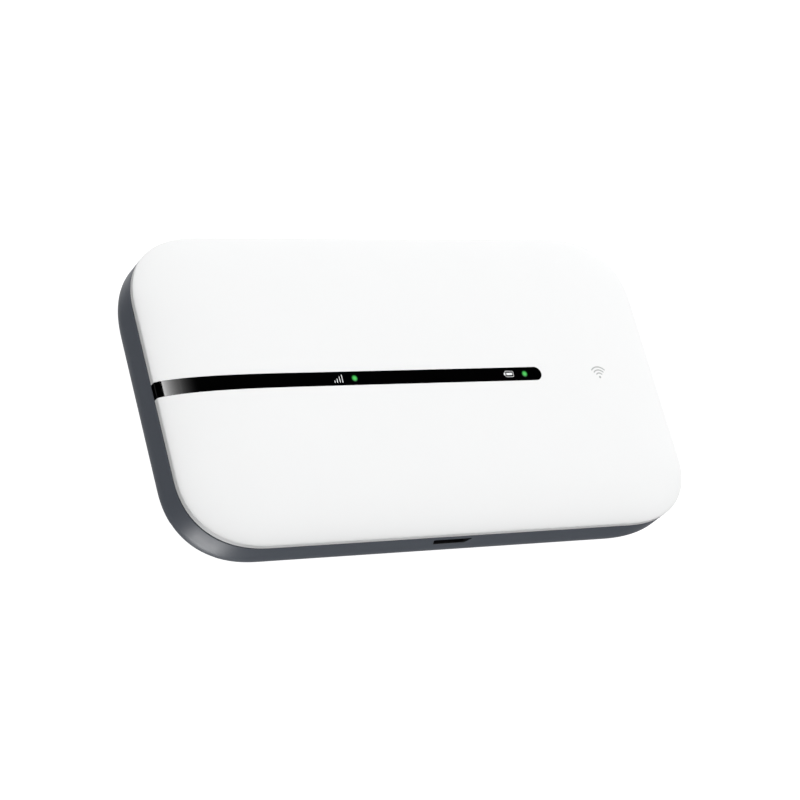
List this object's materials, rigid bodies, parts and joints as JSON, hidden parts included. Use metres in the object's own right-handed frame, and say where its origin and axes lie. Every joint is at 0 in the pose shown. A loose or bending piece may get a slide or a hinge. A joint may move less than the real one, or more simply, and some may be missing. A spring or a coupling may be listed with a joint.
{
  "type": "mobile hotspot",
  "caption": "Pocket mobile hotspot with a domed white front, a black indicator strip, a grey back cover, a charging port and a battery bay.",
  "frame": {"origin": "under the middle of the flat back, on the surface it lies on", "axes": "+X along the length, away from the strip's open end; +Z out of the front face; the charging port faces -Y"},
  "size_m": [0.1, 0.0562, 0.0134],
  "materials": {
    "white_cover": "satin white moulded plastic",
    "grey_shell": "satin slate grey moulded plastic",
    "black_strip": "polished black plastic",
    "light_guide": "translucent moulded plastic",
    "led_package": "white lamp package with phosphor",
    "chassis_plastic": "fine textured dark plastic",
    "circuit_board": "green solder mask on glass epoxy",
    "chip_package": "black moulded chip package",
    "tinned_shield": "tin-plated sheet",
    "steel_parts": "plated steel",
    "gold_contacts": "gold-plated copper alloy",
    "antenna_copper": "copper film on a thin carrier",
    "connector_plastic": "black heat-resistant plastic",
    "battery_wrap": "dark grey printed film over the cell",
    "battery_cap": "black moulded plastic",
    "blank_label": "blank coated label",
    "thermal_pad": "soft silicone pad"
  },
  "bodies": {
    "back_cover": {"back_cover": "grey_shell"},
    "main_unit": {"front_cover": "white_cover", "indicator_strip": "black_strip", "signal_light_guide": "light_guide", "battery_light_guide": "light_guide", "signal_led": "led_package", "battery_led": "led_package", "chassis": "chassis_plastic", "main_board": "circuit_board", "baseband_processor": "chip_package", "memory_chip": "chip_package", "rf_transceiver": "chip_package", "power_amplifier": "chip_package", "wifi_chip": "chip_package", "power_manager": "chip_package", "charging_inductor": "chip_package", "baseband_shield": "tinned_shield", "rf_shield": "tinned_shield", "wifi_shield": "tinned_shield", "power_shield": "tinned_shield", "crystal": "tinned_shield", "charging_port_shell": "steel_parts", "sim_socket_shell": "steel_parts", "power_switch": "steel_parts", "reset_switch": "steel_parts", "case_screw_1": "steel_parts", "case_screw_2": "steel_parts", "case_screw_3": "steel_parts", "case_screw_4": "steel_parts", "case_screw_5": "steel_parts", "case_screw_6": "steel_parts", "battery_contact_spring_1": "gold_contacts", "battery_contact_spring_2": "gold_contacts", "battery_contact_spring_3": "gold_contacts", "main_antenna_spring": "gold_contacts", "diversity_antenna_spring": "gold_contacts", "wifi_antenna_spring": "gold_contacts", "main_antenna": "antenna_copper", "diversity_antenna": "antenna_copper", "wifi_antenna": "antenna_copper", "charging_port_tongue": "connector_plastic", "sim_contact_base": "connector_plastic", "battery_contact_block": "connector_plastic", "thermal_pad": "thermal_pad"},
    "battery": {"battery_cell": "battery_wrap", "battery_end_cap": "battery_cap", "battery_label": "blank_label"},
    "power_button": {"power_button": "grey_shell"},
    "reset_button": {"reset_button": "connector_plastic"}
  },
  "joints": [
    {"name": "unit_lift", "type": "slide", "parent": "back_cover", "child": "main_unit", "axis": [0, 0, 1], "range_m": [0, 0.03]},
    {"name": "battery_drop", "type": "slide", "parent": "main_unit", "child": "battery", "axis": [0, 0, -1], "range_m": [0, 0.012]},
    {"name": "power_press", "type": "slide", "parent": "main_unit", "child": "power_button", "axis": [-1, 0, 0], "range_m": [0, 0.0003], "stiffness_N_per_m": 1600, "springref_m": -0.0005},
    {"name": "reset_press", "type": "slide", "parent": "main_unit", "child": "reset_button", "axis": [0, 0, 1], "range_m": [0, 0.0002], "stiffness_N_per_m": 1600, "springref_m": -0.0004}
  ],
  "couplings": [
    {"joint": "battery_drop", "follows": "unit_lift", "ratio": 0.4}
  ]
}
